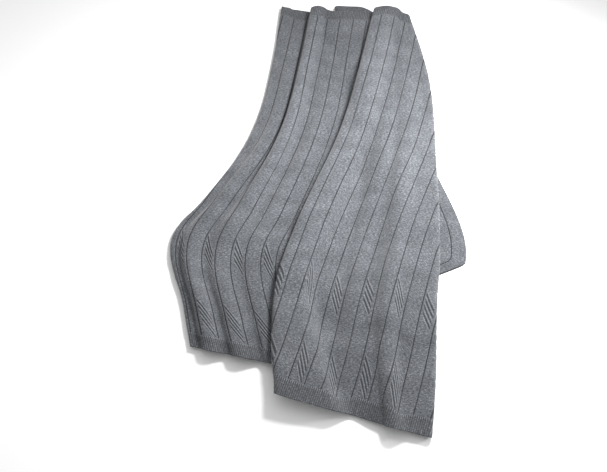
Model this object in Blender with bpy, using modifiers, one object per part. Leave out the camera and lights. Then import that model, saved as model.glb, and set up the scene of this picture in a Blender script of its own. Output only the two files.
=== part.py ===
"""A knitted throw, laid out on a floor in long soft folds.

The throw is one piece of cloth with its ribbed ends knitted in, so it is one solid. A point of the
flat cloth is u, measured across the panels from the left side, and v, measured along the panels
from the near end. Each cross-section of the laid cloth is a curve of the cloth's true width: its
slope angle is given along u, and x and z are summed from that angle. A fold turns the curve back
over itself and then lets it down again. The left side is turned under. So is the right side, which
comes out from under its fold as a flap half way along.
"""

import bmesh
import bpy
import numpy as np

# The cut, in metres.
PANEL = 0.0397
PANELS = 32
WIDTH = PANEL * PANELS
LENGTH = 1.52
THICKNESS = 0.0032
BORDER = 0.045
SEAM = 0.004

# The knitted relief, in metres. A band of slanted motifs has one in every other panel.
GROOVE_DEPTH = 0.0012
MOTIF_HEIGHT = 0.0010
BANDS = ((0.049, 0.187, 0), (0.300, 0.438, 1))
MOTIF_PANELS = range(7, 28)
MOTIF_BREADTH = 0.2

# How finely the sheet is divided. Its columns lie at twelfths of a panel, closest at the left roll, and
# its rows lie close enough for the right roll, which moves across the panels.
PARTS = 12
SAMPLES = 3
DIVISION_COLUMNS = ("from panel", "to panel", "columns a panel")
DIVISIONS = ((0, 6, 1), (6, 6.25, 4), (6.25, 7.25, 6), (7.25, 29, 4), (29, 32, 2))
PLAIN_ROWS = (
    *(0.240, 0.480, 0.521, 0.547, 0.610, 0.670, 0.720, 0.770, 0.820, 0.870),
    *(0.920, 0.992, 1.037, 1.110, 1.172, 1.258, 1.320, 1.390),
)

# The folds, in millimetres of flat cloth and in degrees, with one value for each station.
#   under, over   cloth in the hidden turn and in the roll that shows, which faces left
#   slope         cloth that comes down from the fold again
#   roll          where the roll lies, from the left side of the cloth
#   turn          how far the cloth turns back: under 90 it is a ridge, and at 180 it lies on itself
#   lap           cloth that lies doubled between the two turns
STATIONS = (0.00, 0.13, 0.40, 0.55, 0.95, 1.25, 1.52)
FOLD_COLUMNS = ("name", "under", "over", "slope", "roll", "turn", "lap")
FOLDS = (
    ("left ridge", 18, 20, 50, (318, 318, 310, 318, 326, 322, 320), (44, 60, 50, 72, 40, 10, 0), 0),
    ("left pleat", 20, 24, 54, (398, 398, 394, 398, 406, 412, 410), (36, 32, 22, 52, 150, 180, 180), 1),
    ("left ripple", 18, 22, 44, (484, 484, 482, 486, 500, 500, 500), (30, 24, 13, 21, 20, 0, 0), 0),
    ("main pleat", 22, 34, 76, (770, 728, 684, 684, 684, 684, 684), 180, (97, 68, 26, 30, 24, 14, 8)),
    ("middle ripple", 18, 24, 44, (960, 920, 880, 865, 815, 790, 790), (0, 6, 16, 22, 24, 8, 0), 0),
    ("right ridge", 18, 22, 46, (1062, 1015, 968, 950, 870, 820, 760), (50, 50, 34, 30, 28, 16, 0), 0),
)

# The cloth's two sides are turned under at a roll that faces outwards. The hidden cloth of the right
# side turns out again past its lap, where the lap is shorter than the cloth that is left.
SIDE_COLUMNS = ("name", "under", "over", "roll", "lap")
SIDES = (
    ("left side", 5, 14, (270, 270, 262, 270, 280, 280, 266), 0),
    ("right side", 22, 20, (1166, 1147, 1106, 1085, 967, 898, 806), (100, 121, 105, 80, 142, 178, 224)),
)
LIFT_SLOPE = 0.12
OVER_EDGE = 0.0035
EDGE_SLOPE = 0.03
EASE = 0.4
EASED_IN = 0.38
PAST_LAP = 1.2
STEEPEST = np.radians(80)
CLOSE_ENOUGH = 1e-6
MILLIMETRE = 0.001
MAIN_PLEAT = "main pleat"

# The flap: where it starts, reaches furthest and ends, and how much cloth comes out there, in metres.
FLAP = dict(start=0.45, tip=0.55, end=0.95, cloth=0.041)

# Where the main pleat's roll lies from side to side at each station, in metres.
SPINE = (0.057, 0.018, -0.033, -0.031, -0.005, -0.012, -0.030)

# How far the left part lies back, and the right part's hem comes forward to its side and where it is
# raised. The left part's knit is eased up a little.
LEFT_DRAWN_BACK = 0.080
LEFT_EASED = 0.08
DRAWN_OVER = 0.25
RIGHT_DRAWN_OUT = 0.035
RIGHT_DRAWN_OVER = 0.40
HEM_SWAY, HEM_WAVES = 0.003, 2.5
HEM_FORWARD = 0.8
MOST_ASLANT = 0.5

# The flat places between which the cloth shows all along. The hidden sides follow these two.
SHOWN = (0.29, 0.80)

COLOUR = (0.225, 0.236, 0.262, 1.0)
ROUGHNESS = 0.93


def along(values, v):
    """A smooth curve through one value for each station, read at v. A single value holds all along."""
    if np.ndim(values) == 0:
        return float(values)
    at = np.array(STATIONS)
    values = np.array(values, float)
    slopes = np.gradient(values, at)
    i = np.clip(np.searchsorted(at, v, side="right") - 1, 0, len(at) - 2)
    step = at[i + 1] - at[i]
    t = (v - at[i]) / step
    rise = t * t * (3 - 2 * t)
    start = t * (1 - t) ** 2 * step * slopes[i]
    end = t * t * (t - 1) * step * slopes[i + 1]
    return values[i] + (values[i + 1] - values[i]) * rise + start + end


def read(rows, names, name, v):
    """The values at v of a table's row, in metres and radians."""
    row = dict(zip(names, next(row for row in rows if row[0] == name)))
    found = {key: along(row[key], v) * MILLIMETRE for key in names[1:] if key != "turn"}
    found["lap"] = max(0.0, found["lap"])
    if "turn" in names:
        found["turn"] = np.radians(max(0.0, along(row["turn"], v)))
    return found


def flap_share(v):
    """From 0 where the flap starts, straight to 1 at its tip, and back to 0 where it ends."""
    return float(np.interp(v, [FLAP["start"], FLAP["tip"], FLAP["end"]], [0, 1, 0]))


def ramp(t):
    """From 0 to 1, eased a little at both ends."""
    t = np.clip(t, 0, 1)
    return t - EASE * np.sin(2 * np.pi * t) / (2 * np.pi)


def hump(u, start, rise, flat, fall):
    """0, then up to 1 over rise, level over flat, and down to 0 again over fall."""
    return ramp((u - start) / rise) - ramp((u - start - rise - flat) / fall)


def fold_angle(fold, u):
    """The slope angle that one fold gives the cross-section. Its downward slope is as steep as closes it."""
    half = fold["over"] / 2
    start = fold["roll"] - half - fold["lap"] - fold["under"]
    up = fold["turn"] * hump(u, start, fold["under"], fold["lap"], fold["over"])
    ease, flat = fold["slope"] * EASED_IN, fold["slope"] * (1 - 2 * EASED_IN)
    down = hump(u, fold["roll"] + half + fold["lap"] * PAST_LAP, ease, flat, ease)
    low, high = 0.0, STEEPEST
    while high - low > CLOSE_ENOUGH:
        middle = (low + high) / 2
        if np.sin(middle * down).sum() < np.sin(up).sum():
            low = middle
        else:
            high = middle
    return up - low * down


def summed(values, step):
    """The running sum of values a step apart, from 0."""
    return np.concatenate([[0.0], np.cumsum((values[1:] + values[:-1]) / 2) * step])


def section(v):
    """The flat places u of a cross-section's points, and their x and z."""
    step = PANEL / PARTS / SAMPLES
    u = np.arange(PANELS * PARTS * SAMPLES + 1) * step
    left, right = (read(SIDES, SIDE_COLUMNS, row[0], v) for row in SIDES)
    right["lap"] = max(0.0, right["lap"] - FLAP["cloth"] * flap_share(v))
    left_end, right_start = left["roll"] + left["over"] / 2, right["roll"] - right["over"] / 2
    angle = np.pi * (1 - ramp((u - left_end + left["over"]) / left["over"]))
    angle -= np.pi * hump(u, right_start, right["over"], right["lap"], right["under"])
    angle += sum(fold_angle(read(FOLDS, FOLD_COLUMNS, row[0], v), u) for row in FOLDS)
    x = summed(np.cos(angle), step)
    x += along(SPINE, v) - np.interp(read(FOLDS, FOLD_COLUMNS, MAIN_PLEAT, v)["roll"], u, x)
    z = THICKNESS + summed(np.sin(angle), step)

    # The cloth between the two rolls lies on the hidden cloth, and on the floor where there is none.
    left_height, right_top = np.interp([left_end, right_start], u, z)
    turned_under = u >= right_start
    underside = z - THICKNESS * np.maximum(0, -np.cos(angle))
    right_height = right_top - underside[turned_under].min()
    on_edge = OVER_EDGE * (1 - ramp((x - x[0]) / EDGE_SLOPE))
    z += np.where(turned_under, on_edge, 0)
    across = np.clip((u - left_end) / (right_start - left_end), 0, 1)
    z += across * (left_height - right_top)
    between = np.interp(np.minimum(u, right_start), u, x)
    on_left = left_height * (1 - ramp((between - x[0]) / LIFT_SLOPE))
    beside = x[turned_under].min() - between
    right_height = right_height + OVER_EDGE * (1 - ramp((between - x[0]) / EDGE_SLOPE))
    on_right = right_height * (1 - ramp(beside / LIFT_SLOPE))
    lift = np.maximum(on_left, on_right) - left_height
    z += np.where(u > left_end - left["over"] / 2, lift, 0)
    return u, x, z


def columns():
    """The places of the columns of points, counted in parts of a panel."""
    places = []
    for row in DIVISIONS:
        division = dict(zip(DIVISION_COLUMNS, row))
        step = PARTS // division["columns a panel"]
        places += range(int(division["from panel"] * PARTS), int(division["to panel"] * PARTS), step)
    return [*places, PANELS * PARTS]


def rows():
    """How far along the cloth each row of points lies, with rows at the borders and the motifs."""
    lengths = [0.0, BORDER, *PLAIN_ROWS, LENGTH - BORDER - SEAM, LENGTH]
    for low, high, _ in BANDS:
        lengths += [low, (low + high) / 2, high]
    return sorted(lengths)


def lay(lengths):
    """The laid cloth's points, one row for each length. They lie closer in y where the cloth runs aslant."""
    u, x, z = (np.array(values) for values in zip(*(section(v) for v in lengths)))
    u = u[0]
    roll = read(FOLDS, FOLD_COLUMNS, MAIN_PLEAT, 0.0)["roll"]
    step = np.diff(lengths)[:, None]
    aslant = (np.diff(x, axis=0) ** 2 + np.diff(z, axis=0) ** 2) / step**2
    aslant = np.array([np.interp(np.clip(u, *SHOWN), u, row) for row in aslant])
    left = ramp((roll - u) / DRAWN_OVER)
    forward = np.sqrt(np.maximum(1 - aslant, MOST_ASLANT)) * step * (1 - LEFT_EASED * left)
    start = LEFT_DRAWN_BACK * left + HEM_SWAY * np.sin(2 * np.pi * HEM_WAVES * u / WIDTH)
    start -= RIGHT_DRAWN_OUT * ramp((u - roll) / RIGHT_DRAWN_OVER) + HEM_FORWARD * z[0]
    y = np.concatenate([[start], start + np.cumsum(forward, axis=0)])
    return np.stack([x, y, z], axis=2)[:, [column * SAMPLES for column in columns()]]


def relief(column, length):
    """The cloth's thickness at a place, as a share of the most."""
    panel, part = divmod(column, PARTS)
    most = THICKNESS + MOTIF_HEIGHT
    if panel < DIVISIONS[0][1] or length <= BORDER or length > LENGTH - BORDER:
        return THICKNESS / most
    if part == 0:
        return (THICKNESS - GROOVE_DEPTH) / most
    for low, high, first in BANDS:
        across = (high - length) / (high - low) / 2 + 1 / 4
        inside = panel in MOTIF_PANELS and panel % 2 == first and low <= length <= high
        if inside and abs(part / PARTS - across) < MOTIF_BREADTH:
            return 1.0
    return THICKNESS / most


def blanket_mesh():
    """The inner side of the sheet as an open grid, with each point's thickness as its weight."""
    lengths, places = rows(), columns()
    points = lay(lengths)
    low, high = points.min(axis=(0, 1)), points.max(axis=(0, 1))
    floor = min(low[2], points[:, 0, 2].min() - THICKNESS)
    points -= [(low[0] + high[0]) / 2, (low[1] + high[1]) / 2, floor]
    bm = bmesh.new()
    bmesh.ops.create_grid(bm, x_segments=len(places) - 1, y_segments=len(lengths) - 1, size=1.0)
    weight = bm.verts.layers.deform.verify()
    for vert in bm.verts:
        column = round((vert.co.x + 1) / 2 * (len(places) - 1))
        row = round((vert.co.y + 1) / 2 * (len(lengths) - 1))
        vert[weight][0] = relief(places[column], lengths[row])
        vert.co = points[row, column]
    mesh = bpy.data.meshes.new("blanket")
    bm.to_mesh(mesh)
    bm.free()
    mesh.shade_smooth()
    return mesh


def knit_material():
    """Grey acrylic knit."""
    material = bpy.data.materials.new("grey_knit")
    material.use_nodes = True
    shader = material.node_tree.nodes["Principled BSDF"]
    shader.inputs["Base Color"].default_value = COLOUR
    shader.inputs["Roughness"].default_value = ROUGHNESS
    shader.inputs["Metallic"].default_value = 0.0
    return material


def blanket(collection):
    """The sheet, thickened outwards from its inner side."""
    mesh = blanket_mesh()
    mesh.materials.append(knit_material())
    sheet = bpy.data.objects.new("blanket", mesh)
    collection.objects.link(sheet)
    sheet.vertex_groups.new(name="thickness")
    thicken = sheet.modifiers.new("Thickness", "SOLIDIFY")
    thicken.thickness = THICKNESS + MOTIF_HEIGHT
    thicken.offset = 1.0
    thicken.vertex_group = "thickness"
    return sheet


def main():
    for old in list(bpy.data.objects):
        bpy.data.objects.remove(old)
    collection = bpy.data.collections.new("knitted_throw")
    bpy.context.scene.collection.children.link(collection)
    blanket(collection)


main()
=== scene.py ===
"""A knitted throw, laid out on a floor in long soft folds: its cloth, ribbed ends and slanted motifs.

A point of the flat cloth is u, measured across the panels from the left side, and v, measured along
the panels from the near end. Each cross-section of the laid cloth is a curve of the cloth's true
width, summed from its slope angle, so the folds are the same as the frame's. The finer pieces are
made flat, with their places on the cloth as their UVs in metres, and then moved on to it.
"""

import bmesh
import bpy
import numpy as np
from mathutils import Matrix, Vector


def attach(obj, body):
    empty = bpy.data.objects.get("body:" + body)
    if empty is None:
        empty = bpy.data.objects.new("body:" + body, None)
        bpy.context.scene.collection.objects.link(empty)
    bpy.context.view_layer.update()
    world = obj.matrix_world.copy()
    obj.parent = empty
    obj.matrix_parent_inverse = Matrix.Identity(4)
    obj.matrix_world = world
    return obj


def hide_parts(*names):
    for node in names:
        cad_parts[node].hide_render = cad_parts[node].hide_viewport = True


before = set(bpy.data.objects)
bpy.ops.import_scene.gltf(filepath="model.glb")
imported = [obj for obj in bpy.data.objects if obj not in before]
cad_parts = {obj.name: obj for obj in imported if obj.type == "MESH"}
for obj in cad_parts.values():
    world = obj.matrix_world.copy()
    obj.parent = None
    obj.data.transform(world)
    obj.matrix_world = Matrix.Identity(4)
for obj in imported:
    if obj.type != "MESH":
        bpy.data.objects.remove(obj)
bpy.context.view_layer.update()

NODE = "blanket"
BODY = "root"

# The cut, in metres.
PANEL = 0.0397
PANELS = 32
WIDTH = PANEL * PANELS
LENGTH = 1.52
THICKNESS = 0.0032
BORDER = 0.045
SEAM = 0.004

# The slanted motifs: a band has one in every other panel. Each is a row of ribs with open slits
# between them, one below the other. They start beside the panel's left groove and run down to the
# right: across a whole panel they would drop by DROP.
BAND_COLUMNS = ("low", "high", "first panel")
BANDS = ((0.049, 0.187, 0), (0.300, 0.438, 1))
MOTIF_PANELS = range(7, 28)
MOTIF_RIBS = 5
RIB_GAP = 0.0188
DROP = 0.088
RIB_START, RIB_START_STEP, RIB_END = 0.07, 0.03, 0.84
RIB_WIDTH = 0.0044
RIB_HEIGHT = 0.0013

# A raised rib is a long bead with blunt ends: its faces round and along, and how blunt it is.
BEAD_AROUND, BEAD_ALONG = 8, 14
BEAD_BLUNTNESS = 6
TINY, HUGE = 1e-6, 1e3

# The folds, in millimetres of flat cloth and in degrees, with one value for each station.
#   under, over   cloth in the hidden turn and in the roll that shows, which faces left
#   slope         cloth that comes down from the fold again
#   roll          where the roll lies, from the left side of the cloth
#   turn          how far the cloth turns back: under 90 it is a ridge, and at 180 it lies on itself
#   lap           cloth that lies doubled between the two turns
STATIONS = (0.00, 0.13, 0.40, 0.55, 0.95, 1.25, 1.52)
FOLD_COLUMNS = ("name", "under", "over", "slope", "roll", "turn", "lap")
FOLDS = (
    ("left ridge", 18, 20, 50, (318, 318, 310, 318, 326, 322, 320), (44, 60, 50, 72, 40, 10, 0), 0),
    ("left pleat", 20, 24, 54, (398, 398, 394, 398, 406, 412, 410), (36, 32, 22, 52, 150, 180, 180), 1),
    ("left ripple", 18, 22, 44, (484, 484, 482, 486, 500, 500, 500), (30, 24, 13, 21, 20, 0, 0), 0),
    ("main pleat", 22, 34, 76, (770, 728, 684, 684, 684, 684, 684), 180, (97, 68, 26, 30, 24, 14, 8)),
    ("middle ripple", 18, 24, 44, (960, 920, 880, 865, 815, 790, 790), (0, 6, 16, 22, 24, 8, 0), 0),
    ("right ridge", 18, 22, 46, (1062, 1015, 968, 950, 870, 820, 760), (50, 50, 34, 30, 28, 16, 0), 0),
)
SIDE_COLUMNS = ("name", "under", "over", "roll", "lap")
SIDES = (
    ("left side", 5, 14, (270, 270, 262, 270, 280, 280, 266), 0),
    ("right side", 22, 20, (1166, 1147, 1106, 1085, 967, 898, 806), (100, 121, 105, 80, 142, 178, 224)),
)
LIFT_SLOPE = 0.12
OVER_EDGE = 0.0035
EDGE_SLOPE = 0.03
EASE = 0.4
EASED_IN = 0.38
PAST_LAP = 1.2
STEEPEST = np.radians(80)
CLOSE_ENOUGH = 1e-6
MILLIMETRE = 0.001
MAIN_PLEAT = "main pleat"

# The flap: where it starts, reaches furthest and ends, and how much cloth comes out there, in metres.
FLAP = dict(start=0.45, tip=0.55, end=0.95, cloth=0.041)

# Where the main pleat's roll lies from side to side at each station, in metres.
SPINE = (0.057, 0.018, -0.033, -0.031, -0.005, -0.012, -0.030)
LEFT_DRAWN_BACK = 0.080
LEFT_EASED = 0.08
DRAWN_OVER = 0.25
RIGHT_DRAWN_OUT = 0.035
RIGHT_DRAWN_OVER = 0.40
HEM_SWAY, HEM_WAVES = 0.003, 2.5
HEM_FORWARD = 0.8
MOST_ASLANT = 0.5

# How far the hem of the right side's hidden cloth lies back, so that it stays under the hem above it.
HIDDEN_BACK = 0.018
HIDDEN_BACK_OVER = 0.25

# The distance over which that and the creases fade at the rolled sides, and the part of the cloth's
# width in which its slant is read.
FADED_OVER = 0.10
SHOWN = (0.29, 0.80)

# How finely the cloth is worked out, and how finely each piece is divided.
SAMPLES = 32
STEPS = 304
LAST_CELL = 1.001
HIDDEN_PANELS = 5
HIDDEN_PLACES = (0.0, 1 / 3, 2 / 3)
PANEL_PLACES = (0.0, 0.04, 0.09, 0.17, 0.28, 0.39, 0.50, 0.61, 0.72, 0.83, 0.91, 0.96)
BODY_ROWS = 130
END_ROWS = 7
EDGE = 0.0006
RIBS_IN_PANEL = 8
PLACES_IN_RIB = 4

# The knitted relief, as the cloth's thickness in metres.
GROOVE_DEPTH = 0.0015
GROOVE_REACH = 0.01
CROWN = 0.0006
CROWN_POWER = 0.5
END_RIB_DEPTH = 0.0010
FULL = THICKNESS + CROWN

# The soft creases: from and to a place on the cloth in metres, width, and height in millimetres.
CREASE_COLUMNS = ("u from", "v from", "u to", "v to", "width", "height")
CREASES = (
    (0.12, 0.47, 1.30, 0.31, 0.110, 5.0),
    (0.12, 0.36, 1.30, 0.22, 0.110, -3.0),
    (0.36, 0.52, 0.60, 0.40, 0.050, 1.6),
    (0.30, 0.62, 0.52, 0.49, 0.040, -1.4),
    (0.70, 0.50, 0.92, 0.36, 0.060, 1.8),
    (0.74, 0.62, 1.00, 0.50, 0.050, -1.5),
    (0.78, 0.33, 1.02, 0.24, 0.050, 1.2),
    (0.76, 0.16, 0.88, 0.05, 0.040, 1.3),
    (0.90, 0.20, 1.06, 0.10, 0.045, -1.2),
    (0.30, 0.20, 0.46, 0.10, 0.040, 1.2),
    (0.48, 1.10, 0.56, 0.90, 0.040, 1.2),
    (0.72, 1.20, 0.80, 0.95, 0.040, 1.4),
)
WAVES = ((3.1, 1.7, 0.4, 0.9), (5.3, -2.3, 1.9, 0.6), (1.9, 6.1, 3.0, 0.5), (8.7, 3.9, 5.1, 0.35))

# The view, in degrees, metres and pixels of the photograph's frame.
FRAME_WIDTH = 607
FOCAL_PIXELS = 1218
SENSOR = 36.0
VIEW_AZIMUTH, VIEW_ELEVATION = 14.6, 47.1
VIEW_DISTANCE = 3.2
VIEW_TARGET = Vector((-0.0562, -0.2184, 0.0))


def along(values, v):
    """A smooth curve through one value for each station, read at v. A single value holds all along."""
    if np.ndim(values) == 0:
        return float(values)
    at = np.array(STATIONS)
    values = np.array(values, float)
    slopes = np.gradient(values, at)
    i = np.clip(np.searchsorted(at, v, side="right") - 1, 0, len(at) - 2)
    step = at[i + 1] - at[i]
    t = (v - at[i]) / step
    rise = t * t * (3 - 2 * t)
    start = t * (1 - t) ** 2 * step * slopes[i]
    end = t * t * (t - 1) * step * slopes[i + 1]
    return values[i] + (values[i + 1] - values[i]) * rise + start + end


def read(rows, names, name, v):
    """The values at v of a table's row, in metres and radians."""
    row = dict(zip(names, next(row for row in rows if row[0] == name)))
    found = {key: along(row[key], v) * MILLIMETRE for key in names[1:] if key != "turn"}
    found["lap"] = max(0.0, found["lap"])
    if "turn" in names:
        found["turn"] = np.radians(max(0.0, along(row["turn"], v)))
    return found


def flap_share(v):
    """From 0 where the flap starts, straight to 1 at its tip, and back to 0 where it ends."""
    return float(np.interp(v, [FLAP["start"], FLAP["tip"], FLAP["end"]], [0, 1, 0]))


def ramp(t):
    """From 0 to 1, eased a little at both ends."""
    t = np.clip(t, 0, 1)
    return t - EASE * np.sin(2 * np.pi * t) / (2 * np.pi)


def hump(u, start, rise, flat, fall):
    """0, then up to 1 over rise, level over flat, and down to 0 again over fall."""
    return ramp((u - start) / rise) - ramp((u - start - rise - flat) / fall)


def fold_angle(fold, u):
    """The slope angle that one fold gives the cross-section. Its downward slope is as steep as closes it."""
    half = fold["over"] / 2
    start = fold["roll"] - half - fold["lap"] - fold["under"]
    up = fold["turn"] * hump(u, start, fold["under"], fold["lap"], fold["over"])
    ease, flat = fold["slope"] * EASED_IN, fold["slope"] * (1 - 2 * EASED_IN)
    down = hump(u, fold["roll"] + half + fold["lap"] * PAST_LAP, ease, flat, ease)
    low, high = 0.0, STEEPEST
    while high - low > CLOSE_ENOUGH:
        middle = (low + high) / 2
        if np.sin(middle * down).sum() < np.sin(up).sum():
            low = middle
        else:
            high = middle
    return up - low * down


def summed(values, step):
    """The running sum of values a step apart, from 0."""
    return np.concatenate([[0.0], np.cumsum((values[1:] + values[:-1]) / 2) * step])


def section(u, v):
    """The x and z of a cross-section's points, which lie a small step apart in the flat cloth."""
    step = u[1] - u[0]
    left, right = (read(SIDES, SIDE_COLUMNS, row[0], v) for row in SIDES)
    right["lap"] = max(0.0, right["lap"] - FLAP["cloth"] * flap_share(v))
    left_end, right_start = left["roll"] + left["over"] / 2, right["roll"] - right["over"] / 2
    angle = np.pi * (1 - ramp((u - left_end + left["over"]) / left["over"]))
    angle -= np.pi * hump(u, right_start, right["over"], right["lap"], right["under"])
    angle += sum(fold_angle(read(FOLDS, FOLD_COLUMNS, row[0], v), u) for row in FOLDS)
    x = summed(np.cos(angle), step)
    x += along(SPINE, v) - np.interp(read(FOLDS, FOLD_COLUMNS, MAIN_PLEAT, v)["roll"], u, x)
    z = THICKNESS + summed(np.sin(angle), step)

    # The cloth between the two rolls lies on the hidden cloth, and on the floor where there is none.
    left_height, right_top = np.interp([left_end, right_start], u, z)
    turned_under = u >= right_start
    underside = z - THICKNESS * np.maximum(0, -np.cos(angle))
    right_height = right_top - underside[turned_under].min()
    on_edge = OVER_EDGE * (1 - ramp((x - x[0]) / EDGE_SLOPE))
    z += np.where(turned_under, on_edge, 0)
    across = np.clip((u - left_end) / (right_start - left_end), 0, 1)
    z += across * (left_height - right_top)
    between = np.interp(np.minimum(u, right_start), u, x)
    on_left = left_height * (1 - ramp((between - x[0]) / LIFT_SLOPE))
    beside = x[turned_under].min() - between
    right_height = right_height + OVER_EDGE * (1 - ramp((between - x[0]) / EDGE_SLOPE))
    on_right = right_height * (1 - ramp(beside / LIFT_SLOPE))
    lift = np.maximum(on_left, on_right) - left_height
    z += np.where(u > left_end - left["over"] / 2, lift, 0)
    return x, z


def lay(u, lengths):
    """The laid cloth's points, one row for each length. They lie closer in y where the cloth runs aslant."""
    x, z = (np.array(values) for values in zip(*(section(u, v) for v in lengths)))
    roll = read(FOLDS, FOLD_COLUMNS, MAIN_PLEAT, 0.0)["roll"]
    step = np.diff(lengths)[:, None]
    aslant = (np.diff(x, axis=0) ** 2 + np.diff(z, axis=0) ** 2) / step**2
    aslant = np.array([np.interp(np.clip(u, *SHOWN), u, row) for row in aslant])
    left = ramp((roll - u) / DRAWN_OVER)
    forward = np.sqrt(np.maximum(1 - aslant, MOST_ASLANT)) * step * (1 - LEFT_EASED * left)
    start = LEFT_DRAWN_BACK * left + HEM_SWAY * np.sin(2 * np.pi * HEM_WAVES * u / WIDTH)
    start -= RIGHT_DRAWN_OUT * ramp((u - roll) / RIGHT_DRAWN_OVER) + HEM_FORWARD * z[0]
    y = np.concatenate([[start], start + np.cumsum(forward, axis=0)])
    side = read(SIDES, SIDE_COLUMNS, "right side", 0.0)["roll"]
    near = 1 - ramp(np.array(lengths) / HIDDEN_BACK_OVER)
    y += HIDDEN_BACK * near[:, None] * ramp((u - side) / FADED_OVER)
    points = np.stack([x, y, z], axis=2)
    low, high = points.min(axis=(0, 1)), points.max(axis=(0, 1))
    return points - [(low[0] + high[0]) / 2, (low[1] + high[1]) / 2, min(low[2], 0.0) - CROWN]


def unit(vectors):
    """Vectors of length 1."""
    return vectors / np.linalg.norm(vectors, axis=-1, keepdims=True)


def soft_creases(u, v):
    """How far the cloth stands up or lies down at each place, from the creases and a slight unevenness."""
    height = np.zeros(np.broadcast(u, v).shape)
    for row in CREASES:
        crease = dict(zip(CREASE_COLUMNS, row))
        run = np.array([crease["u to"] - crease["u from"], crease["v to"] - crease["v from"]])
        length = np.linalg.norm(run)
        du, dv = u - crease["u from"], v - crease["v from"]
        share = (du * run[0] + dv * run[1]) / length**2
        aside = (du * run[1] - dv * run[0]) / length
        fade = np.sin(np.pi * np.clip(share, 0, 1)) ** 2
        height += crease["height"] * MILLIMETRE * fade * np.exp(-((aside / crease["width"] * 2) ** 2))
    for along_u, along_v, phase, size in WAVES:
        height += size * MILLIMETRE * np.sin(2 * np.pi * (along_u * u + along_v * v) + phase)
    return height


class Cloth:
    """The laid cloth, from which any place's point and normal can be read."""

    def __init__(self):
        self.u = np.linspace(0, WIDTH, PANELS * SAMPLES + 1)
        self.v = np.linspace(0, LENGTH, STEPS + 1)
        points = lay(self.u, self.v)
        normals = self.facing(points)
        rolls = [[read(SIDES, SIDE_COLUMNS, row[0], v)["roll"] for v in self.v] for row in SIDES]
        left, right = np.array(rolls)[..., None]
        fade = np.clip(np.minimum(self.u - left, right - self.u) / FADED_OVER, 0, 1)
        lying = fade * np.clip(normals[..., 2], 0, 1) ** 2
        rise = soft_creases(self.u[None, :], self.v[:, None]) * lying
        points[..., 2] += np.maximum(rise, -points[..., 2])
        self.points, self.normals = points, self.facing(points)

    def facing(self, points):
        """The side of the cloth that is knitted as its face, at each point."""
        return unit(np.cross(np.gradient(points, axis=1), np.gradient(points, axis=0)))

    def at(self, u, v):
        """The points and normals at flat places."""
        column = np.clip(u / WIDTH * (len(self.u) - 1), 0, len(self.u) - LAST_CELL)
        row = np.clip(v / LENGTH * (len(self.v) - 1), 0, len(self.v) - LAST_CELL)
        i, j = column.astype(int), row.astype(int)
        s, t = (column - i)[:, None], (row - j)[:, None]
        found = []
        for values in (self.points, self.normals):
            near = values[j, i] * (1 - s) + values[j, i + 1] * s
            far = values[j + 1, i] * (1 - s) + values[j + 1, i + 1] * s
            found.append(near * (1 - t) + far * t)
        return found[0], unit(found[1])


def thickness_at(u, v):
    """The cloth's thickness, with a groove between two panels and a slight crown on each."""
    across = u / PANEL % 1
    from_groove = np.minimum(across, 1 - across)
    body = (v > BORDER + EDGE * 2) & (v < LENGTH - BORDER - EDGE * 2)
    crown = CROWN * np.sin(np.pi * across) ** CROWN_POWER
    groove = np.where(from_groove < GROOVE_REACH, GROOVE_DEPTH, 0.0)
    return THICKNESS + np.where(body, crown - groove, 0.0)


def end_thickness_at(u, v):
    """The thickness of the ends, with a fine rib every few stitches."""
    ribs = np.cos(2 * np.pi * u / PANEL * RIBS_IN_PANEL)
    return THICKNESS - END_RIB_DEPTH * (1 + ribs) / 2


def sheet_piece(name, cloth, us, vs, thickness):
    """A closed sheet on the laid cloth over the flat places us and vs, with its flat places as UVs."""
    bm = bmesh.new()
    bmesh.ops.create_grid(bm, x_segments=len(us) - 1, y_segments=len(vs) - 1, size=1.0)
    uv_layer = bm.loops.layers.uv.new("cloth")
    weight = bm.verts.layers.deform.verify()
    corner = np.array([vert.co.xy[:] for vert in bm.verts])
    u = np.array(us)[np.rint((corner[:, 0] + 1) / 2 * (len(us) - 1)).astype(int)]
    v = np.array(vs)[np.rint((corner[:, 1] + 1) / 2 * (len(vs) - 1)).astype(int)]
    points, _ = cloth.at(u, v)
    shares = thickness(u, v) / FULL
    bm.verts.index_update()
    for vert, point, share in zip(bm.verts, points, shares):
        vert.co = point
        vert[weight][0] = share
    for face in bm.faces:
        for loop in face.loops:
            loop[uv_layer].uv = u[loop.vert.index], v[loop.vert.index]
    piece = new_object(name, bm)
    piece.vertex_groups.new(name="thickness")
    thicken = piece.modifiers.new("Thickness", "SOLIDIFY")
    thicken.thickness = FULL
    thicken.offset = 1.0
    thicken.vertex_group = "thickness"
    return piece


def new_object(name, bm):
    """A smooth-shaded object of a bmesh's shape."""
    mesh = bpy.data.meshes.new(name)
    bm.to_mesh(mesh)
    bm.free()
    mesh.shade_smooth()
    piece = bpy.data.objects.new(name, mesh)
    bpy.context.scene.collection.objects.link(piece)
    return piece


def panel_places():
    """The flat places across the cloth of the main sheet's columns, closest at the grooves."""
    hidden = [(panel + place) * PANEL for panel in range(HIDDEN_PANELS) for place in HIDDEN_PLACES]
    fine = [(panel + place) * PANEL for panel in range(HIDDEN_PANELS, PANELS) for place in PANEL_PLACES]
    return [*hidden, *fine, WIDTH]


def edged(low, high, count):
    """Evenly spaced places from low to high, with one more close to each end, so that an edge looks crisp."""
    return [low, low + EDGE, *np.linspace(low, high, count)[1:-1], high - EDGE, high]


def body_rows():
    """The flat places along the cloth of the main sheet's rows."""
    return edged(BORDER, LENGTH - BORDER, BODY_ROWS)


def end_piece(name, cloth, low, high):
    """A ribbed end, knitted on to the panels."""
    us = np.linspace(0, WIDTH, PANELS * RIBS_IN_PANEL * PLACES_IN_RIB + 1)
    return sheet_piece(name, cloth, us, edged(low, high, END_ROWS), end_thickness_at)


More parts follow.
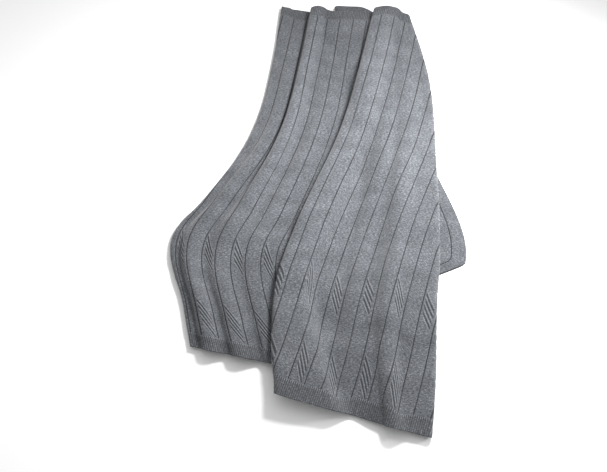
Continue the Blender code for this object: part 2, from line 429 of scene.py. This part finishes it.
def motif_lines():
    """Every motif's ribs: where each starts and ends on the flat cloth."""
    for row in BANDS:
        band = dict(zip(BAND_COLUMNS, row))
        for panel in MOTIF_PANELS:
            if panel % 2 != band["first panel"]:
                continue
            for rib in range(MOTIF_RIBS):
                top = band["high"] - rib * RIB_GAP
                start = RIB_START + rib * RIB_START_STEP
                end = min(RIB_END, (top - band["low"]) / DROP)
                yield (panel + start) * PANEL, top - start * DROP, (panel + end) * PANEL, top - end * DROP


def motif_ribs(cloth):
    """The raised ribs of the slanted motifs: long beads, sunk by half into the cloth."""
    bm = bmesh.new()
    uv_layer = bm.loops.layers.uv.new("cloth")
    for u0, v0, u1, v1 in motif_lines():
        bead = bmesh.ops.create_uvsphere(bm, u_segments=BEAD_AROUND, v_segments=BEAD_ALONG, radius=1.0)
        made = bead["verts"]
        ball = np.array([vert.co[:] for vert in made])
        run = np.array([u1 - u0, v1 - v0])
        side = np.array([-run[1], run[0]]) / np.linalg.norm(run)
        t = ball[:, 2]
        round_off = np.sqrt(np.maximum(1 - t**BEAD_BLUNTNESS, 0) / np.maximum(1 - t**2, TINY))
        round_off = np.minimum(round_off, HUGE)
        aside = ball[:, 0] * round_off * RIB_WIDTH / 2
        up = ball[:, 1] * round_off * RIB_HEIGHT
        u = (u0 + u1) / 2 + run[0] / 2 * t + side[0] * aside
        v = (v0 + v1) / 2 + run[1] / 2 * t + side[1] * aside
        points, normals = cloth.at(u, v)
        points = points + normals * (THICKNESS + up)[:, None]
        for vert, point in zip(made, points):
            vert.co = point
        place = dict(zip(made, zip(u, v)))
        for face in {face for vert in made for face in vert.link_faces}:
            for loop in face.loops:
                loop[uv_layer].uv = place[loop.vert]
    bmesh.ops.recalc_face_normals(bm, faces=bm.faces)
    return new_object("motif_ribs", bm)


class Value:
    """A shader socket that takes part in Python expressions, each of which adds its Math node."""

    def __init__(self, shader, socket):
        self.shader = shader
        self.socket = socket

    def math(self, operation, *values):
        return self.shader.node("ShaderNodeMath", {"operation": operation}, dict(enumerate(values)))

    def __add__(self, other):
        return self.math("ADD", self, other)

    def __radd__(self, other):
        return self.math("ADD", other, self)

    def __sub__(self, other):
        return self.math("SUBTRACT", self, other)

    def __rsub__(self, other):
        return self.math("SUBTRACT", other, self)

    def __mul__(self, other):
        return self.math("MULTIPLY", self, other)

    def __rmul__(self, other):
        return self.math("MULTIPLY", other, self)

    def __truediv__(self, other):
        return self.math("DIVIDE", self, other)

    def __mod__(self, other):
        return self.math("FLOORED_MODULO", self, other)

    def __lt__(self, other):
        return self.math("LESS_THAN", self, other)

    def __gt__(self, other):
        return self.math("GREATER_THAN", self, other)

    def __abs__(self):
        return self.math("ABSOLUTE", self)

    def cos(self):
        return self.math("COSINE", self)

    def floor(self):
        return self.math("FLOOR", self)

    def least(self, other):
        return self.math("MINIMUM", self, other)

    def rise(self, low, high):
        """0 up to low, 1 from high, and smooth between them."""
        settings = {"interpolation_type": "SMOOTHSTEP"}
        return self.shader.node("ShaderNodeMapRange", settings, {"Value": self, 1: low, 2: high})


class Shader:
    """One material and its nodes."""

    def __init__(self, name):
        self.material = bpy.data.materials.new(name)
        self.material.use_nodes = True
        self.tree = self.material.node_tree
        self.surface = self.tree.nodes["Principled BSDF"]

    def node(self, kind, settings, values, output=0):
        """A new node of this kind, with its settings made first and then its sockets' values or links."""
        made = self.tree.nodes.new(kind)
        for key, value in settings.items():
            setattr(made, key, value)
        for key, value in values.items():
            self.feed(made.inputs[key], value)
        return Value(self, made.outputs[output])

    def feed(self, socket, value):
        """Links a value to a socket, or sets it there."""
        if isinstance(value, Value):
            self.tree.links.new(value.socket, socket)
        else:
            socket.default_value = value

    def mix(self, share, first, second):
        """The first colour where share is 0, and the second where it is 1."""
        return self.node("ShaderNodeMix", {"data_type": "RGBA"}, {0: share, 6: first, 7: second}, output=2)

    def place(self):
        """The flat place on the cloth, u and v, in metres."""
        uv = self.node("ShaderNodeUVMap", {"uv_map": "cloth"}, {})
        parts = self.node("ShaderNodeSeparateXYZ", {}, {0: uv})
        split = parts.socket.node
        return Value(self, split.outputs[0]), Value(self, split.outputs[1])

    def noise(self, u, v, across, length, detail=2.0):
        """Noise that is so many metres across the panels and along them, from 0 to 1."""
        at = self.node("ShaderNodeCombineXYZ", {}, {0: u / across, 1: v / length})
        values = {"Vector": at, "Scale": 1.0, "Detail": detail}
        return self.node("ShaderNodeTexNoise", {"noise_dimensions": "2D"}, values)


# The yarn's colours, and the near-black painted shade of the grooves, slits and rib valleys, as linear
# values.
YARN_DARK = (0.022, 0.024, 0.028, 1)
YARN = (0.075, 0.080, 0.089, 1)
YARN_LIGHT = (0.212, 0.223, 0.244, 1)
PAINTED_SHADE_COLOUR = (0.007, 0.008, 0.010, 1)
WALE = PANEL / 13
COURSE = 0.0026
DASH = 0.0065
YARN_ROUGHNESS = 0.88
YARN_SPECULAR = 0.25
SHEEN, SHEEN_ROUGHNESS = 0.25, 0.5

# The mixed yarn: the size across and along of each noise, where it goes from dark to light, and its share.
FLECKS, THREADS = (0.0068, 0.0032), (0.0026, 0.0018)
PATCHES, TIGHTNESS = (0.09, 0.05), (0.05, 0.09)
FLECK_RISE, THREAD_RISE, TIGHT_RISE = (0.26, 0.74), (0.3, 0.7), (0.3, 0.6)
FLECK_SHARE, THREAD_SHARE, PATCH_SHARE, DARKENED = 0.52, 0.38, 0.36, 0.15
MIDDLE_AT, LIGHTEST_AT = 0.5, 1.1

# How wide the drawn lines are, and how much of their colour they take: painted shade in the grooves, slits
# and rib valleys, a painted highlight on the motifs' ribs, and a lighter stitched line where the near end
# meets the panels.
GROOVE_RISE, CAST_ON_RISE = (0.0008, 0.0021), (0.0015, 0.0030)
GROOVE_DASHED, GROOVE_PAINTED_SHADE, GROOVE_TIGHT = 0.18, 0.62, 0.20
SLIT_PAINTED_SHADE, RIB_PAINTED_HIGHLIGHT = 0.80, 0.40
VALLEY_PAINTED_SHADE, CAST_ON_LIGHT = 0.60, 0.60
SLIT_RISE, RIB_RISE = (0.10, 0.28), (0.30, 0.44)
RIB_SOFT_START, RIB_SOFT_END = 0.05, 0.06
RIB_PAST = 0.3

# The bump of the knit: the stitches' shape, and how far each thing stands up or lies down.
STITCH_SLANT, STITCH_SHARE = 1.2, 0.3
KNIT_UP, FLECKS_UP = 0.35, 0.20
GROOVE_DOWN, SLIT_DOWN, VALLEY_DOWN = 0.6, 0.8, 0.5
BUMP_STRENGTH = 0.7
BUMP_DISTANCE = 0.0012


def knit_material():
    """Plain knit in a mixed grey yarn, with painted shade in the grooves between the panels, in the motifs'
    slits and in the valleys of the fine ribs at the ends, and a painted highlight on the motifs' ribs.
    """
    shader = Shader("grey_melange_knit")
    u, v = shader.place()
    across = u / PANEL % 1
    from_groove = across.least(1 - across) * PANEL
    body = v.rise(BORDER, BORDER + SEAM) * (1 - v.rise(LENGTH - BORDER - SEAM, LENGTH - BORDER))

    flecks = shader.noise(u, v, *FLECKS)
    threads = shader.noise(u, v, *THREADS, detail=1.0)
    patches = shader.noise(u, v, *PATCHES)
    light = flecks.rise(*FLECK_RISE) * FLECK_SHARE + threads.rise(*THREAD_RISE) * THREAD_SHARE
    light = light + patches * PATCH_SHARE - DARKENED
    colour = shader.mix(light.rise(0.0, MIDDLE_AT), YARN_DARK, YARN)
    colour = shader.mix(light.rise(MIDDLE_AT, LIGHTEST_AT), colour, YARN_LIGHT)

    # Painted shade in the grooves between the panels: a near-black line, dashed along its length and darker
    # in patches.
    dashes = (v * (2 * np.pi / DASH)).cos() * 0.5 + 0.5
    tight = shader.noise(u, v, *TIGHTNESS).rise(*TIGHT_RISE)
    groove = (1 - from_groove.rise(*GROOVE_RISE)) * body
    dark = dashes * GROOVE_DASHED + GROOVE_PAINTED_SHADE + tight * GROOVE_TIGHT
    colour = shader.mix(groove * dark, colour, PAINTED_SHADE_COLOUR)

    slits, ribs = motif_lines_at(shader, u, v, across)
    # Painted shade in the slits between a motif's ribs.
    colour = shader.mix(slits * SLIT_PAINTED_SHADE, colour, PAINTED_SHADE_COLOUR)
    # A painted highlight on the motifs' raised ribs.
    colour = shader.mix(ribs * RIB_PAINTED_HIGHLIGHT, colour, YARN_LIGHT)

    # Painted shade in the valleys between the fine ribs of the ends.
    end_ribs = (u * (2 * np.pi * RIBS_IN_PANEL / PANEL)).cos()
    valleys = (1 - body) * (end_ribs * 0.5 + 0.5)
    colour = shader.mix(valleys * VALLEY_PAINTED_SHADE, colour, PAINTED_SHADE_COLOUR)
    cast_on = 1 - abs(v - BORDER).rise(*CAST_ON_RISE)
    colour = shader.mix(cast_on * (0.5 - end_ribs * 0.5) * CAST_ON_LIGHT, colour, YARN_LIGHT)

    wale = abs(u / WALE % 1 - 0.5)
    stitch = ((v / COURSE + wale * STITCH_SLANT) * (2 * np.pi)).cos()
    knit = (1 - wale * 2) * (stitch * STITCH_SHARE + (1 - STITCH_SHARE))
    height = knit * KNIT_UP + flecks * FLECKS_UP - groove * GROOVE_DOWN
    height = height - slits * SLIT_DOWN - valleys * VALLEY_DOWN
    bump = {"Height": height, "Strength": BUMP_STRENGTH, "Distance": BUMP_DISTANCE}
    normal = shader.node("ShaderNodeBump", {}, bump)

    shader.feed(shader.surface.inputs["Base Color"], colour)
    shader.feed(shader.surface.inputs["Normal"], normal)
    shader.surface.inputs["Roughness"].default_value = YARN_ROUGHNESS
    shader.surface.inputs["Sheen Weight"].default_value = SHEEN
    shader.surface.inputs["Sheen Roughness"].default_value = SHEEN_ROUGHNESS
    shader.surface.inputs["Specular IOR Level"].default_value = YARN_SPECULAR
    return shader.material


def motif_lines_at(shader, u, v, across):
    """How much a place lies in the slits between a motif's ribs, which are given painted shade, and on the
    ribs, which are given a painted highlight.
    """
    odd = (u / PANEL).floor() % 2
    shown = (u > MOTIF_PANELS[0] * PANEL) * (u < (MOTIF_PANELS[-1] + 1) * PANEL)
    slits, ribs = 0.0, 0.0
    for row in BANDS:
        band = dict(zip(BAND_COLUMNS, row))
        line = (band["high"] - v - across * DROP) / RIB_GAP
        from_slit = abs(line % 1 - 0.5)
        start = line * RIB_START_STEP + RIB_START
        inside = across.rise(start, start + RIB_SOFT_START)
        inside = inside * (1 - across.rise(RIB_END - RIB_SOFT_END, RIB_END))
        inside = inside * (v > band["low"]) * (abs(odd - band["first panel"]) < 0.5) * shown
        last = MOTIF_RIBS - 1
        slits = slits + (1 - from_slit.rise(*SLIT_RISE)) * inside * (line > 0) * (line < last)
        ribs = ribs + from_slit.rise(*RIB_RISE) * inside * (line > -RIB_PAST) * (line < last + RIB_PAST)
    return slits, ribs


FLOOR_COLOUR = (0.92, 0.92, 0.92, 1)
FLOOR_ROUGHNESS, FLOOR_SPECULAR = 0.9, 0.1
FLOOR_REACH = 12.0


def floor_material():
    """A pale matt floor."""
    shader = Shader("pale_floor")
    shader.surface.inputs["Base Color"].default_value = FLOOR_COLOUR
    shader.surface.inputs["Roughness"].default_value = FLOOR_ROUGHNESS
    shader.surface.inputs["Specular IOR Level"].default_value = FLOOR_SPECULAR
    return shader.material


def blanket(material):
    """The throw: its panels, two ribbed ends and raised motifs."""
    cloth = Cloth()
    body = sheet_piece("blanket_panels", cloth, panel_places(), body_rows(), thickness_at)
    near = end_piece("ribbed_end_near", cloth, 0.0, BORDER + EDGE)
    far = end_piece("ribbed_end_far", cloth, LENGTH - BORDER - EDGE, LENGTH)
    ribs = motif_ribs(cloth)
    for piece in (body, near, far, ribs):
        piece.data.materials.append(material)
        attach(piece, BODY)
    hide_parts(NODE)


def stage():
    """A pale floor."""
    bm = bmesh.new()
    bmesh.ops.create_grid(bm, x_segments=1, y_segments=1, size=FLOOR_REACH)
    floor = new_object("floor", bm)
    floor.data.materials.append(floor_material())


# The lamps, in metres, degrees and watts.
LIGHT_COLUMNS = ("name", "place", "aim", "size", "spread", "power")
LIGHTS = (
    ("key", (0.50, 0.42, 1.05), (0.0, -0.02, 0.0), 0.45, 112, 16),
    ("side", (1.9, 0.1, 0.65), (0.0, -0.3, 0.0), 0.5, 180, 20),
)
SKY = (1.0, 1.0, 1.0, 1)
SKY_STRENGTH = 0.70


def lights():
    """Soft studio light, strongest from the far right."""
    for row in LIGHTS:
        light = dict(zip(LIGHT_COLUMNS, row))
        lamp = bpy.data.lights.new(light["name"], "AREA")
        lamp.shape = "DISK"
        lamp.size = light["size"]
        lamp.spread = np.radians(light["spread"])
        lamp.energy = light["power"]
        holder = bpy.data.objects.new(light["name"], lamp)
        bpy.context.scene.collection.objects.link(holder)
        place, aim = Vector(light["place"]), Vector(light["aim"])
        turn = (aim - place).to_track_quat("-Z", "Y").to_matrix().to_4x4()
        holder.matrix_world = Matrix.Translation(place) @ turn
    world = bpy.data.worlds.new("studio")
    world.use_nodes = True
    world.node_tree.nodes["Background"].inputs["Color"].default_value = SKY
    world.node_tree.nodes["Background"].inputs["Strength"].default_value = SKY_STRENGTH
    bpy.context.scene.world = world
    bpy.context.scene.view_settings.view_transform = "Standard"


def camera():
    """The photograph's angle, from above the near end."""
    azimuth, elevation = np.radians(VIEW_AZIMUTH), np.radians(VIEW_ELEVATION)
    back = Vector((
        np.sin(azimuth) * np.cos(elevation),
        -np.cos(azimuth) * np.cos(elevation),
        np.sin(elevation),
    ))
    data = bpy.data.cameras.new("camera")
    data.sensor_width = SENSOR
    data.lens = FOCAL_PIXELS / FRAME_WIDTH * SENSOR
    holder = bpy.data.objects.new("camera", data)
    bpy.context.scene.collection.objects.link(holder)
    turn = (-back).to_track_quat("-Z", "Y").to_matrix().to_4x4()
    holder.matrix_world = Matrix.Translation(VIEW_TARGET + back * VIEW_DISTANCE) @ turn
    bpy.context.scene.camera = holder


camera()
stage()
lights()
blanket(knit_material())
